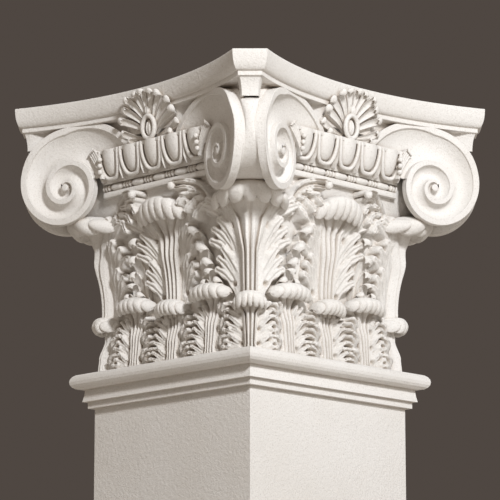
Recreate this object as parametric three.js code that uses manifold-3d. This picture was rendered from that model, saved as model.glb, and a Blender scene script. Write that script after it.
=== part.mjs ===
// A composite capital with angle volutes on the top of a square pier, in cast stone.
// Three solids stand on each other: the pier's stub, the moulded necking and the capital,
// which is one casting: a square bell with two rows of acanthus leaves, four pairs of
// diagonal volutes, an egg band between them and a hollow-sided abacus with palmettes.
// Millimetres, +Z up, origin at the centre of the pier's underside.
// A face's own coordinates are s, along the face, and d, outwards from the axis.
import * as THREE from "three";
import { mergeVertices } from "three/addons/utils/BufferGeometryUtils.js";
import Module from "manifold-3d";

// Pier and necking, from below
const pierSide = 300;
const pierLength = 162;
const filletHeight = 9;
const filletProjection = 7;
const bandHeight = 17;
const bandProjection = 12.5;
const bandHollow = 2.5;
const torusDiameter = 21;
const torusProjection = 25.5;

// Bell of the capital
const bellHeight = 238;
const bellInset = 10;
const bellFlare = 25;

// Abacus
const abacusReach = 327;
const abacusCornerWidth = 45;
const abacusHollow = 47;
const ovoloHeight = 26.5;
const ovoloDepth = 9;
const abacusFilletHeight = 6.5;
const abacusFilletInset = 11;
const cavettoHeight = 25;
const cavettoInset = 20;

// Egg band, from below: fillet, bead and ovolo
const eggFilletHeight = 8;
const eggFilletProjection = 22;
const beadDiameter = 10;
const eggHeight = 44;
const eggProjection = 41;
const eggPitch = 42.5;
const eggCount = 5;

// Volutes
const voluteFace = 179;
const volutePlanRadius = 400;
const voluteEyeAlong = 150;
const voluteEyeDrop = 117.5;
const voluteBottomRise = 7.5;
const voluteThickness = 17;
const voluteFilletWidth = 9.5;
const voluteChannelDepth = 7;
const voluteHollow = 15;

// Leaves: rise of the top above the bell's foot, half width of the roll, height of the roll
const upperLeafRise = 223;
const upperLeafHalfWidth = 52;
const upperRollHeight = 39;
const upperRollProjection = 27;
const cornerLeafRise = 79;
const middleLeafRise = 84;
const quarterLeafRise = 96;
const lowerLeafHalfWidth = 31;
const lowerRollHeight = 25;
const lowerRollProjection = 21;
const leafThickness = 9;

// Palmettes and sprigs
const palmetteHalfWidth = 42;
const palmetteProjection = 24;
const sprigAlong = 67;
const sprigHeight = 40;
const sprigHalfWidth = 15;

const neckHeight = filletHeight + bandHeight + torusDiameter;
const neckBase = pierLength;
const capitalBase = neckBase + neckHeight;
const bellTop = capitalBase + bellHeight;
const eggBandTop = bellTop + eggFilletHeight + beadDiameter + eggHeight;
const abacusHeight = ovoloHeight + abacusFilletHeight + cavettoHeight;
const eggBandToAbacus = 13;
const abacusTop = eggBandTop + eggBandToAbacus + abacusHeight;
const abacusFilletBase = abacusTop - ovoloHeight - abacusFilletHeight;
const eyeHeight = abacusTop - voluteEyeDrop;
const pierHalf = pierSide / 2;
const bellFoot = pierHalf - bellInset;
const rootTwo = Math.SQRT2;
const abacusMiddle = (abacusReach + abacusCornerWidth / 2) / rootTwo - abacusHollow - cavettoInset;

const wasm = await Module();
wasm.setup();

// A closed solid of a geometry, with its faces turned outwards
function solidOf(geometry) {
  const bare = new THREE.BufferGeometry();
  bare.setAttribute("position", geometry.getAttribute("position").clone());
  if (geometry.index) bare.setIndex(geometry.index.clone());
  const merged = mergeVertices(bare, 1e-3);
  const vertProperties = new Float32Array(merged.attributes.position.array);
  const triVerts = new Uint32Array(merged.index.array);
  const solid = new wasm.Manifold(new wasm.Mesh({ numProp: 3, vertProperties, triVerts }));
  if (solid.volume() > 0) return solid;
  for (let i = 0; i < triVerts.length; i += 3) {
    [triVerts[i + 1], triVerts[i + 2]] = [triVerts[i + 2], triVerts[i + 1]];
  }
  return new wasm.Manifold(new wasm.Mesh({ numProp: 3, vertProperties, triVerts }));
}

function geometryOf(solid) {
  const { vertProperties, triVerts } = solid.getMesh();
  const geometry = new THREE.BufferGeometry();
  geometry.setAttribute("position", new THREE.Float32BufferAttribute(vertProperties, 3));
  geometry.setIndex(new THREE.Uint32BufferAttribute(triVerts, 1));
  geometry.computeVertexNormals();
  return geometry;
}

// A closed skin over rings of equally many points; a ring of one point closes an end to a tip
function skin(rings) {
  const points = [];
  const faces = [];
  const starts = rings.map((ring) => {
    points.push(...ring);
    return points.length - ring.length;
  });
  const around = Math.max(...rings.map((ring) => ring.length));
  for (let r = 0; r + 1 < rings.length; r++) {
    for (let i = 0; i < around; i++) {
      const next = (i + 1) % around;
      const low = rings[r].length === 1 ? [starts[r], starts[r]] : [starts[r] + i, starts[r] + next];
      const up = rings[r + 1].length === 1
        ? [starts[r + 1], starts[r + 1]]
        : [starts[r + 1] + i, starts[r + 1] + next];
      if (low[0] !== low[1]) faces.push(low[0], low[1], up[1]);
      if (up[0] !== up[1]) faces.push(low[0], up[1], up[0]);
    }
  }
  capEnd(points, faces, rings[0], starts[0], true);
  capEnd(points, faces, rings.at(-1), starts.at(-1), false);
  const geometry = new THREE.BufferGeometry();
  geometry.setAttribute(
    "position",
    new THREE.Float32BufferAttribute(points.flatMap((p) => [p.x, p.y, p.z]), 3),
  );
  geometry.setIndex(faces);
  return geometry;
}

// Closes an end ring with a fan round its middle
function capEnd(points, faces, ring, start, first) {
  if (ring.length === 1) return;
  const middle = ring.reduce((sum, p) => sum.add(p), new THREE.Vector3()).divideScalar(ring.length);
  const centre = points.push(middle) - 1;
  for (let i = 0; i < ring.length; i++) {
    const next = (i + 1) % ring.length;
    if (first) faces.push(centre, start + next, start + i);
    else faces.push(centre, start + i, start + next);
  }
}

// A square block with mitred mouldings: a lathe of four sides, from [half side, height] pairs
function squareTurned(profile) {
  const points = profile.map(([half, z]) => new THREE.Vector2(half * rootTwo, z));
  return new THREE.LatheGeometry(points, 4, Math.PI / 4).rotateX(Math.PI / 2);
}

// A point of the front face from its own coordinates
function facePoint(s, d, z) {
  return new THREE.Vector3(s, -d, z);
}

// Copies of a geometry round the four faces
function aroundFaces(geometry) {
  return [0, 1, 2, 3].map((k) => geometry.clone().rotateZ((k * Math.PI) / 2));
}

// Half side of the bell at a share of its height: nearly upright, then a trumpet-like flare
function bellHalf(share) {
  const waist = 6 * Math.sin(Math.PI * Math.min(1, share / 0.75));
  return bellFoot - waist + bellFlare * Math.max(0, (share - 0.35) / 0.65) ** 2;
}

function bellHalfAt(z) {
  return bellHalf(THREE.MathUtils.clamp((z - capitalBase) / bellHeight, 0, 1));
}

function bell() {
  const shares = [0, 0.25, 0.5, 0.75, 1];
  const profile = shares.map((share) => [bellHalf(share), capitalBase + bellHeight * share]);
  const top = abacusFilletBase;
  const headHalf = bellHalf(1);
  return squareTurned([[0, capitalBase], ...profile, [headHalf, top], [0, top]]);
}

// The abacus outline, drawn in by an inset: four hollow sides and four cut corners
function abacusOutline(inset, z, steps = 6) {
  const chordEnd = (abacusReach - abacusCornerWidth / 2) / rootTwo;
  const chordFace = (abacusReach + abacusCornerWidth / 2) / rootTwo;
  const radius = (chordEnd ** 2 + abacusHollow ** 2) / (2 * abacusHollow);
  const centre = chordFace - abacusHollow + radius;
  const drawn = radius + inset;
  // The hollow side meets the cut corner, whose line is s + d = reach
  const reach = (abacusReach - inset) * rootTwo;
  const gap = (reach - centre) / rootTwo;
  const end = (reach - centre) / 2 + Math.sqrt(drawn ** 2 - gap ** 2) / rootTwo;
  const turn = Math.asin(end / drawn);
  const outline = [];
  for (let side = 0; side < 4; side++) {
    for (let i = 0; i <= steps; i++) {
      const angle = turn * ((2 * i) / steps - 1);
      const point = facePoint(drawn * Math.sin(angle), centre - drawn * Math.cos(angle), z);
      outline.push(point.applyAxisAngle(new THREE.Vector3(0, 0, 1), (side * Math.PI) / 2));
    }
  }
  return outline;
}

// Abacus, from its top: ovolo, fillet and cavetto
function abacus() {
  const ovolo = [0, 0.5, 0.85, 1].map((share) => [
    ovoloDepth * (1 - Math.sqrt(1 - share ** 2)),
    abacusTop - ovoloHeight * share,
  ]);
  const hollow = [0, 0.4, 1].map((share) => [
    abacusFilletInset + 2 + (cavettoInset - abacusFilletInset - 2) * Math.sin((share * Math.PI) / 2),
    abacusFilletBase - cavettoHeight * share,
  ]);
  const levels = [
    ...ovolo,
    [abacusFilletInset, abacusTop - ovoloHeight],
    [abacusFilletInset, abacusFilletBase],
    ...hollow,
  ];
  return skin(levels.map(([inset, z]) => abacusOutline(inset, z)));
}

// Radius of the volute's outer edge, t turns on from straight above the eye; before that, its arm.
// The outer turn is a little flat at the bottom
function voluteRadius(t) {
  const rise = t > 0 && t < 1 ? voluteBottomRise * Math.sin(Math.PI * t) ** 2 : 0;
  const spiral = 115.7 * 0.599 ** t - 31 - rise;
  return t < 0 ? spiral - 115 * t : spiral;
}

// A point of a volute: a along the curved face from the eye, up from the eye, depth behind the face
function volutePoint(a, up, depth) {
  const angle = Math.asin(voluteEyeAlong / volutePlanRadius) + a / volutePlanRadius;
  const radius = volutePlanRadius + depth;
  return facePoint(
    radius * Math.sin(angle),
    voluteFace + volutePlanRadius - radius * Math.cos(angle),
    eyeHeight + up,
  );
}

const armStart = -0.19;
const innerSide = 0.75;

// The volute's outline drawn in by an inset: out along the arm, round the scroll and back. The
// hollow draws it in further towards the foot
function voluteOutline(inset, hollow, depth, steps = 14) {
  return Array.from({ length: steps }, (_, i) => {
    const t = armStart + ((innerSide - armStart) * i) / (steps - 1);
    const radius = voluteRadius(t) - inset - hollow * Math.sin(Math.PI * t) ** 2;
    const angle = t * 2 * Math.PI;
    return volutePoint(radius * Math.sin(angle), radius * Math.cos(angle), depth);
  });
}

// Mirrors a point in the vertical plane through the front right corner
function acrossCorner(point) {
  return new THREE.Vector3(-point.y, -point.x, point.z);
}

// The two volutes of a corner in one: eye to rim, over the edge, and through to the other face
function cornerVolutes() {
  const near = [
    [volutePoint(0, 0, voluteChannelDepth)],
    voluteOutline(voluteFilletWidth, 0, voluteChannelDepth),
    voluteOutline(voluteFilletWidth, 0, 0),
    voluteOutline(0, 0, 0),
    voluteOutline(0, 0, voluteThickness),
    voluteOutline(0, voluteHollow, voluteThickness + 3),
  ];
  const far = near.map((ring) => ring.map(acrossCorner)).reverse();
  return skin([...near, ...far]);
}

// The raised fillet of a volute's inner turns
function voluteInnerTurns() {
  const first = 0.72;
  const last = 1.95;
  const stepsPerTurn = 6.5;
  const steps = Math.round((last - first) * stepsPerTurn);
  const rings = [];
  for (let i = 0; i <= steps; i++) {
    const t = first + ((last - first) * i) / steps;
    const angle = t * 2 * Math.PI;
    const outer = voluteRadius(t);
    const inner = Math.max(0.8, outer - voluteFilletWidth * (1.15 - 0.3 * t));
    const at = (radius, depth) => volutePoint(radius * Math.sin(angle), radius * Math.cos(angle), depth);
    rings.push([at(outer, 0), at(inner, 0), at(inner, voluteChannelDepth + 3), at(outer, voluteChannelDepth + 3)]);
  }
  return skin(rings);
}

// The egg band of a face: sections along it that swell at each egg
function eggBand() {
  const base = bellTop;
  const rings = [];
  const perEgg = 3;
  const steps = eggCount * perEgg;
  for (let i = 0; i <= steps; i++) {
    const s = (eggPitch * (i - steps / 2)) / perEgg;
    const swell = i % perEgg === 0 ? 0 : 1;
    const front = bellFoot + eggProjection;
    const beadTop = base + eggFilletHeight + beadDiameter;
    rings.push([
      facePoint(s, bellFoot + 12, base),
      facePoint(s, bellFoot + eggFilletProjection + 8, base),
      facePoint(s, bellFoot + eggFilletProjection + 8, beadTop),
      facePoint(s, front - 10 + 10 * swell, beadTop + eggHeight * 0.45),
      facePoint(s, front + 4 + 4 * swell, beadTop + eggHeight),
      facePoint(s, bellFoot + 12, beadTop + eggHeight),
    ]);
  }
  return skin(rings);
}

// Where a leaf's own point lies: u across, out from the axis, z up. A corner leaf wraps the edge
function leafPoint(along, u, out, z, rounding) {
  if (along !== null) return facePoint(along + u, out, z);
  const quarter = (rounding * Math.PI) / 4;
  const turned = THREE.MathUtils.clamp(u / rounding, -Math.PI / 4, Math.PI / 4);
  const straight = Math.max(0, Math.abs(u) - quarter) / rootTwo;
  const across = rounding * Math.sin(turned) + Math.sign(u) * straight;
  const reach = (out - rounding) * rootTwo + rounding * Math.cos(turned) - straight;
  return new THREE.Vector3((reach + across) / rootTwo, (across - reach) / rootTwo, z);
}

// A leaf: an upright stem with a rolled-over top, in sections across it. The roll is domed, and
// swells between the grooves that part its lobes
function leaf({ along, foot, top, halfWidth, stemHalf, rollHeight, projection, stations, cornerRounding }) {
  const height = top - foot;
  const sections = stations.map(([share, swell]) => {
    const u = halfWidth * share;
    const side = Math.abs(share);
    const tip = top - rollHeight * 0.42 * side ** 2;
    const reach = projection * (1 - 0.55 * side ** 2) + swell;
    const start = foot + height * 0.62 * Math.max(0, side - stemHalf) ** 0.7;
    const out = (z, more) => bellHalfAt(z) + more;
    const root = tip - rollHeight * 1.25;
    const edge = out(tip - rollHeight, leafThickness + reach);
    const profile = [
      [bellHalfAt(start) - 4, start, 6],
      [out(start, leafThickness + swell), start, 6],
      [out(root, leafThickness + swell), Math.max(root, start + 4), 8],
      [edge - 3, tip - rollHeight * 0.95, cornerRounding],
      [edge + 1, tip - rollHeight * 0.55, cornerRounding],
      [edge - 8, tip - rollHeight * 0.12, cornerRounding],
      [edge - 20, tip, cornerRounding * 0.8],
      [bellHalfAt(tip) - 4, tip - rollHeight * 0.25, 10],
    ];
    return profile.map(([o, z, rounding]) => leafPoint(along, u, o, z, rounding));
  });
  return skin(sections);
}

const lobedStations = [
  [-1, -2], [-0.8, 3], [-0.6, -3], [-0.4, 3], [-0.18, -2], [0, 4],
  [0.18, -2], [0.4, 3], [0.6, -3], [0.8, 3], [1, -2],
];
const plainStations = [[-1, -1], [-0.68, 2], [-0.36, -2], [0, 3], [0.36, -2], [0.68, 2], [1, -1]];

function upperLeaf(along) {
  return leaf({
    along,
    foot: capitalBase + quarterLeafRise * 0.5,
    top: capitalBase + upperLeafRise,
    halfWidth: upperLeafHalfWidth,
    stemHalf: 0.3,
    rollHeight: upperRollHeight,
    projection: upperRollProjection,
    stations: lobedStations,
    cornerRounding: 45,
  });
}

function lowerLeaf(along, rise) {
  return leaf({
    along,
    foot: capitalBase,
    top: capitalBase + rise,
    halfWidth: lowerLeafHalfWidth,
    stemHalf: 0.4,
    rollHeight: lowerRollHeight,
    projection: lowerRollProjection,
    stations: plainStations,
    cornerRounding: 25,
  });
}

// A fan of ribs that leans out from the egg band over the abacus
function palmette() {
  const ribs = 5;
  const columns = ribs * 2 + 1;
  const foot = eggBandTop - 6;
  const length = abacusTop - 3 - foot;
  const rows = [0.15, 0.6, 1].map((share) => {
    const front = [];
    const back = [];
    for (let i = 0; i < columns; i++) {
      const fan = (2 * i) / (columns - 1) - 1;
      const angle = fan * 1.35;
      const radius = share * length * (1 - 0.18 * fan ** 2) * (i % 2 ? 1 : 0.86);
      const s = Math.min(1, palmetteHalfWidth / length + 0.1) * radius * Math.sin(angle);
      const z = foot + radius * Math.cos(angle * 0.82);
      const lean = abacusMiddle + palmetteProjection * (0.45 + 0.55 * share) - 18 * fan ** 2;
      front.push(facePoint(s, lean + (i % 2 ? 4 : -3) * share, z));
      back.unshift(facePoint(s, voluteFace - 12, Math.min(z, abacusTop - 4)));
    }
    return [...front, ...back];
  });
  return skin(rows);
}

// A curled sprig that rises between two upper leaves
function sprig(side) {
  const top = bellTop;
  const rings = [0, 0.5, 1].map((share) => {
    const z = top - sprigHeight * (1 - share);
    const half = sprigHalfWidth * [0.5, 1, 0.55][share * 2];
    const centre = side * (sprigAlong - 6 * share);
    const front = bellHalfAt(z) + [8, 18, 8][share * 2];
    return [
      facePoint(centre - half, bellHalfAt(z) - 4, z),
      facePoint(centre - half, front - 7, z),
      facePoint(centre, front, z),
      facePoint(centre + half, front - 7, z),
      facePoint(centre + half, bellHalfAt(z) - 4, z),
    ];
  });
  return skin(rings);
}

function capital() {
  const onFace = [
    voluteInnerTurns(),
    eggBand(),
    palmette(),
    upperLeaf(0),
    lowerLeaf(0, middleLeafRise),
    lowerLeaf(-pierHalf / 2, quarterLeafRise),
    lowerLeaf(pierHalf / 2, quarterLeafRise),
    sprig(-1),
    sprig(1),
    cornerVolutes(),
    upperLeaf(null),
    lowerLeaf(null, cornerLeafRise),
  ];
  const mirroredTurns = voluteInnerTurns().scale(-1, 1, 1);
  const all = [...onFace, mirroredTurns].flatMap(aroundFaces);
  const whole = [bell(), abacus(), ...all].map(solidOf).reduce((sum, part) => sum.add(part));
  // The outer skin alone, so that no pocket stays sealed between two pieces of carving
  return whole.decompose().sort((a, b) => b.volume() - a.volume())[0];
}

const pier = squareTurned([[0, 0], [pierHalf, 0], [pierHalf, pierLength], [0, pierLength]]);

// Necking, from below: fillet, hollowed band and torus
function necking() {
  const bandBase = neckBase + filletHeight;
  const torusBase = bandBase + bandHeight;
  const radius = torusDiameter / 2;
  const torusCentre = pierHalf + torusProjection - radius;
  const hollow = [0, 0.35, 0.7, 1].map((share) => [
    pierHalf + bandProjection - bandHollow * Math.sin(Math.PI * 0.5 * share),
    bandBase + bandHeight * share,
  ]);
  const round = [-1, -0.75, -0.5, -0.25, 0, 0.25, 0.5, 0.75, 1].map((share) => [
    torusCentre + radius * Math.cos((share * Math.PI) / 2),
    torusBase + radius * (1 + Math.sin((share * Math.PI) / 2)),
  ]);
  return squareTurned([
    [0, neckBase],
    [pierHalf + filletProjection, neckBase],
    [pierHalf + filletProjection, bandBase],
    ...hollow,
    ...round,
    [0, capitalBase],
  ]);
}

const castStone = { metalness: 0, roughness: 0.85 };
const order = new THREE.Group();
for (const [name, geometry, colour] of [
  ["pier_stub", pier, 0xe4dfd9],
  ["necking", necking(), 0xe6e1db],
  ["capital", geometryOf(capital()), 0xece8e3],
]) {
  const mesh = new THREE.Mesh(geometry, new THREE.MeshStandardMaterial({ color: colour, ...castStone }));
  mesh.name = name;
  order.add(mesh);
}

export default order;
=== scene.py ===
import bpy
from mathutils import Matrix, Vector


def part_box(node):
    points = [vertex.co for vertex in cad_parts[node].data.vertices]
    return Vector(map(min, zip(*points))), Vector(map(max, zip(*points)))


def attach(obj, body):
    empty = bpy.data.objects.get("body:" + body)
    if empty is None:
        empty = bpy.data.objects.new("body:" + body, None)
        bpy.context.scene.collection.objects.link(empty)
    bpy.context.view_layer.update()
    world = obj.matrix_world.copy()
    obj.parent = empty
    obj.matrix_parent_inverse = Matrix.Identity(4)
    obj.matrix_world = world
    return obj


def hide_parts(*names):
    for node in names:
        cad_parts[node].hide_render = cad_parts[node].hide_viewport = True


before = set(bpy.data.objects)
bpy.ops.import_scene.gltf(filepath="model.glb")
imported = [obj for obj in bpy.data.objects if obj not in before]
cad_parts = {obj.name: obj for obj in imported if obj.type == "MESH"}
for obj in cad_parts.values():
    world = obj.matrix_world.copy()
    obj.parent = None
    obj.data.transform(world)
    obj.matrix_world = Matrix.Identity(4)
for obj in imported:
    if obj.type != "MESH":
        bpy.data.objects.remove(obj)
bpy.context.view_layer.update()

import math
import bpy
import numpy as np
from mathutils import Vector

# Sizes in the dictionaries are millimetres, and metres in those of the stone and the stage. A face's
# own coordinates are s, along the face to the right, d, outwards from the axis, and z, up. The
# pieces are worked out on the front face and then carried round to the other three.
mm = 0.001
rootTwo = math.sqrt(2)
capitalLow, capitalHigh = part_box("capital")
base = capitalLow[2] / mm
top = capitalHigh[2] / mm
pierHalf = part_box("pier_stub")[1][0] / mm


# grids and meshes
def facePoint(s, d, z):
    # s, d and z of the front face as x, y and z
    s, d, z = np.broadcast_arrays(s, d, z)
    return np.stack([s, -d, z], axis=-1)


def turned(points, quarter):
    # a quarter turn about the axis for each step
    c, n = [(1, 0), (0, 1), (-1, 0), (0, -1)][quarter % 4]
    x, y = points[..., 0], points[..., 1]
    return np.stack([c * x - n * y, n * x + c * y, points[..., 2]], axis=-1)


def smooth(a, b, x):
    # nought below a, one above b, and the curve 3t^2 - 2t^3 between them
    t = np.clip((np.asarray(x, float) - a) / (b - a), 0, 1)
    return t * t * (3 - 2 * t)


def quadratic(t, start, middle, end):
    # a curve from start to end that leaves and arrives along the lines to its middle point
    return (1 - t) ** 2 * start + 2 * t * (1 - t) * middle + t ** 2 * end


def dome(side, power):
    # one on the middle line and nought at the sides: sqrt(1 - side^power)
    return np.sqrt(np.clip(1 - side ** power, 0, 1))


def besideRib(across, count):
    # nought on the middle of each of so many ribs side by side, and one in the grooves between
    spread = across * count / 2 + 0.5 * (count % 2)
    return np.abs(2 * (spread - np.floor(spread)) - 1)


class Sheets:
    # Grids of points gathered into one mesh. A grid may have a further axis in front, with one
    # place on it for each copy of a shape that repeats.

    def __init__(self):
        self.points = []
        self.faces = []
        self.count = 0

    def add(self, grid, closed=False, flip=False):
        # four-sided faces between a grid's points; a closed grid's last column joins its first
        grid = np.asarray(grid, float)
        rows, columns = grid.shape[-3:-1]
        grid = grid.reshape(-1, rows, columns, 3)
        index = np.arange(grid.shape[0] * rows * columns).reshape(-1, rows, columns)
        if closed:
            index = np.concatenate([index, index[:, :, :1]], axis=2)
        corners = [index[:, :-1, :-1], index[:, 1:, :-1], index[:, 1:, 1:], index[:, :-1, 1:]]
        quads = np.stack(corners, axis=-1).reshape(-1, 4)
        if flip:
            quads = quads[:, ::-1]
        self.points.append(grid.reshape(-1, 3))
        self.faces.append(quads + self.count)
        self.count += grid.shape[0] * rows * columns

    def piece(self, name, slot, material, sharp):
        # one piece of the capital, smooth but for edges sharper than this angle
        points = np.concatenate(self.points) * mm
        faces = np.concatenate(self.faces)
        mesh = bpy.data.meshes.new(name)
        mesh.vertices.add(len(points))
        mesh.vertices.foreach_set("co", points.astype(np.float32).ravel())
        mesh.loops.add(faces.size)
        mesh.loops.foreach_set("vertex_index", faces.astype(np.int32).ravel())
        mesh.polygons.add(len(faces))
        mesh.polygons.foreach_set("loop_start", np.arange(0, faces.size, 4, dtype=np.int32))
        mesh.update(calc_edges=True)
        mesh.validate()
        mesh.shade_smooth()
        mesh.set_sharp_from_angle(angle=math.radians(sharp))
        mesh.materials.append(material)
        piece = bpy.data.objects.new(name, mesh)
        bpy.context.scene.collection.objects.link(piece)
        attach(piece, "root")
        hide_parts("capital")
        print(name, len(faces) * 2, "triangles")


# stone
class Value:
    # A socket of a node tree, with the sums on it as Python operators.

    def __init__(self, tree, socket=None):
        self.tree = tree
        self.socket = socket

    def node(self, kind, settings=None, inputs=None, output=0):
        # a node of this kind, whose settings are made before its inputs are filled or linked
        made = self.tree.nodes.new(kind)
        for key, value in (settings or {}).items():
            setattr(made, key, value)
        for key, value in (inputs or {}).items():
            if isinstance(value, Value):
                self.tree.links.new(value.socket, made.inputs[key])
            else:
                made.inputs[key].default_value = value
        return Value(self.tree, made.outputs[output])

    def sum(self, operation, first, second, clamp=False):
        # one sum on two values, either of which may be a plain number
        settings = {"operation": operation, "use_clamp": clamp}
        return self.node("ShaderNodeMath", settings, {0: first, 1: second})

    def __add__(self, other):
        return self.sum("ADD", self, other)

    def __radd__(self, other):
        return self.sum("ADD", other, self)

    def __sub__(self, other):
        return self.sum("SUBTRACT", self, other)

    def __rsub__(self, other):
        return self.sum("SUBTRACT", other, self)

    def __mul__(self, other):
        return self.sum("MULTIPLY", self, other)

    def __rmul__(self, other):
        return self.sum("MULTIPLY", other, self)

    def clamped(self):
        # this value, held between nought and one
        return self.sum("ADD", self, 0.0, clamp=True)

    def blend(self, first, second):
        # mixes two colours by this value
        return self.node("ShaderNodeMix", {"data_type": "RGBA"}, {0: self, 6: first, 7: second}, output=2)

    def noise(self, scale, detail, roughness=0.55):
        # soft noise from nought to one over these coordinates
        inputs = {"Vector": self, "Scale": scale, "Detail": detail, "Roughness": roughness}
        return self.node("ShaderNodeTexNoise", {"noise_dimensions": "3D"}, inputs)

    def openness(self, reach, samples):
        # one on an open surface, and less where others stand within this reach
        return self.node("ShaderNodeAmbientOcclusion", {"samples": samples}, {"Distance": reach}, "AO")


stone = {
    "light": (0.80, 0.785, 0.765, 1), "shade": (0.72, 0.695, 0.66, 1),
    "speckDark": (0.50, 0.46, 0.41, 1), "recessShadeColour": (0.46, 0.385, 0.31, 1),
    "patchScale": 9.0, "patchContrast": 1.6, "patchShade": 0.35,
    "grainScale": 520.0, "coarseShare": 0.37, "grainRough": 0.6, "speckFrom": 0.54, "speckContrast": 6.5,
    # reaches and shares of the two ambient occlusion samples, and where and how deeply the painted shade in
    # recesses begins
    "nearReach": 0.009, "wideReach": 0.05, "nearShare": 0.66, "wideShare": 0.34,
    "paintedShadeFrom": 0.84, "paintedShadeDepth": 0.95,
    "fineHeight": 0.5, "coarseHeight": 0.8, "pitDepth": 0.0011,
    "roughness": 0.82, "specular": 0.25,
}


def stoneMaterial(name, speckle, pitting):
    # matte cast stone: broad pale patches, a fine speckle of darker grains, painted shade that turns recesses
    # brown where other surfaces stand near, and a pitted skin
    material = bpy.data.materials.new(name)
    material.use_nodes = True
    tree = material.node_tree
    where = Value(tree).node("ShaderNodeTexCoord", output="Object")
    patches = where.noise(stone["patchScale"], detail=3.0)
    fine = where.noise(stone["grainScale"], 2.0, stone["grainRough"])
    coarse = where.noise(stone["grainScale"] * stone["coarseShare"], 3.0, stone["grainRough"])
    tone = ((patches - 0.5) * stone["patchContrast"] + stone["patchShade"]).clamped()
    colour = tone.blend(stone["light"], stone["shade"])
    speck = ((fine - stone["speckFrom"]) * stone["speckContrast"]).clamped() * speckle
    colour = speck.blend(colour, stone["speckDark"])
    # painted shade: ambient occlusion turns the colour brown in recesses and where other surfaces stand near
    near = where.openness(stone["nearReach"], 8) * stone["nearShare"]
    wide = where.openness(stone["wideReach"], 6) * stone["wideShare"]
    paintedShade = ((stone["paintedShadeFrom"] - near - wide) * stone["paintedShadeDepth"]).clamped()
    colour = paintedShade.blend(colour, stone["recessShadeColour"])
    height = fine * stone["fineHeight"] + coarse * stone["coarseHeight"]
    pits = {"Height": height, "Strength": pitting, "Distance": stone["pitDepth"]}
    skin = height.node("ShaderNodeBump", inputs=pits)
    shader = tree.nodes["Principled BSDF"]
    shader.inputs["Roughness"].default_value = stone["roughness"]
    shader.inputs["Specular IOR Level"].default_value = stone["specular"]
    tree.links.new(colour.socket, shader.inputs["Base Color"])
    tree.links.new(skin.socket, shader.inputs["Normal"])
    print("material", name)
    return material


carvedStone = stoneMaterial("carved_stone", speckle=0.40, pitting=0.9)
neckingStone = stoneMaterial("necking_stone", speckle=0.40, pitting=0.7)
pierStone = stoneMaterial("pier_stone", speckle=0.55, pitting=1.0)

# pier and necking, which keep the frame's own meshes
for node, material in (("pier_stub", pierStone), ("necking", neckingStone)):
    shape = bpy.data.objects[node]
    shape.data.materials.clear()
    shape.data.materials.append(material)
    print(node, "dressed")



def onFourSides(name, sharp, parts):
    # one piece for each side, from the front side's grids: (grid, closed, flip)
    for quarter in range(4):
        sheets = Sheets()
        for grid, closed, flip in parts:
            sheets.add(turned(grid, quarter), closed, flip)
        sheets.piece(f"{name}_{quarter + 1}", "carved_stone", carvedStone, sharp)


# bell; the shares are of its height
bell = {
    "height": 238.0, "foot": 140.0, "waist": 6.0, "waistShare": 0.75, "flare": 25.0, "flareShare": 0.35,
    "headDrop": 40.0,
}


def bellHalf(z):
    # half side of the bell at a height: a slight waist, then a flare that grows as a square
    share = np.clip((np.asarray(z, float) - base) / bell["height"], 0, 1)
    waist = bell["waist"] * np.sin(np.pi * np.minimum(1, share / bell["waistShare"]))
    flareRun = np.maximum(0, (share - bell["flareShare"]) / (1 - bell["flareShare"]))
    return bell["foot"] - waist + bell["flare"] * flareRun ** 2


# Carved leaflets on the bell. A lobe is its eye, which is the hole that its fingers pass, and the
# ends of its fingers. x is measured from the leaf's own middle line and y from the bell's foot.
foliage = {
    "columns": 241, "rows": 160, "top": 236.0, "mitreFrom": 0.8,
    "cornerFade": (3.0, 20.0), "cornerShare": 0.3,
    "startShare": 0.45, "startStep": 0.6, "middleStep": 1.2, "eyeShift": (4.0, 8.0),
    "upper": {
        "lobes": [
            ((22, 160), [(50, 207), (65, 205), (78, 199)]),
            ((22, 122), [(44, 176), (54, 165), (58, 151)]),
            ((19, 84), [(36, 138), (44, 127), (47, 113)]),
        ],
        "half": (2.6, 7.4), "rise": (9.0, 18.0), "root": 55.0, "eye": 3.6, "teeth": 4, "bend": (0.72, 0.60),
    },
    "lower": {
        "lobes": [
            ((9, 44), [(16, 69), (24, 66), (30, 58), (32, 49)]),
            ((9, 22), [(23, 46), (31, 40), (36, 31), (35, 22)]),
            ((9, 2), [(24, 22), (33, 16), (37, 8), (36, 0)]),
        ],
        "half": (1.5, 4.0), "rise": (8.0, 17.0), "root": 24.0, "eye": 2.4, "teeth": 3, "bend": (0.80, 0.25),
    },
    # (start, middle, end, half widths, rises): a scroll's body, its three ribs and three lobes
    "scroll": [
        ((85, 196), (72, 228), (50, 222), (12.0, 13.0), (8, 20)),
        ((97, 192), (86, 243), (39, 233), (3.2, 4.4), (15, 29)),
        ((90, 190), (77, 232), (43, 225), (3.2, 4.0), (15, 28)),
        ((83, 188), (70, 222), (48, 217), (3.2, 3.6), (14, 26)),
        ((72, 218), (52, 222), (42, 206), (4.6, 5.4), (20, 27)),
        ((79, 210), (64, 212), (54, 195), (4.6, 5.4), (19, 26)),
        ((88, 202), (76, 203), (67, 185), (4.6, 5.4), (18, 25)),
    ],
}
# how a leaflet widens, rises and is toothed between two shares of its length, and its groove
leaflet = {
    "points": 25, "margin": 8.0, "round": 2.2, "widening": (0.15, 0.85), "rising": (0.5, 0.95),
    "toothing": (0.2, 0.4), "toothDepth": 0.20, "grooveDepth": 0.22, "grooveHalf": 0.24,
}


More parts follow.
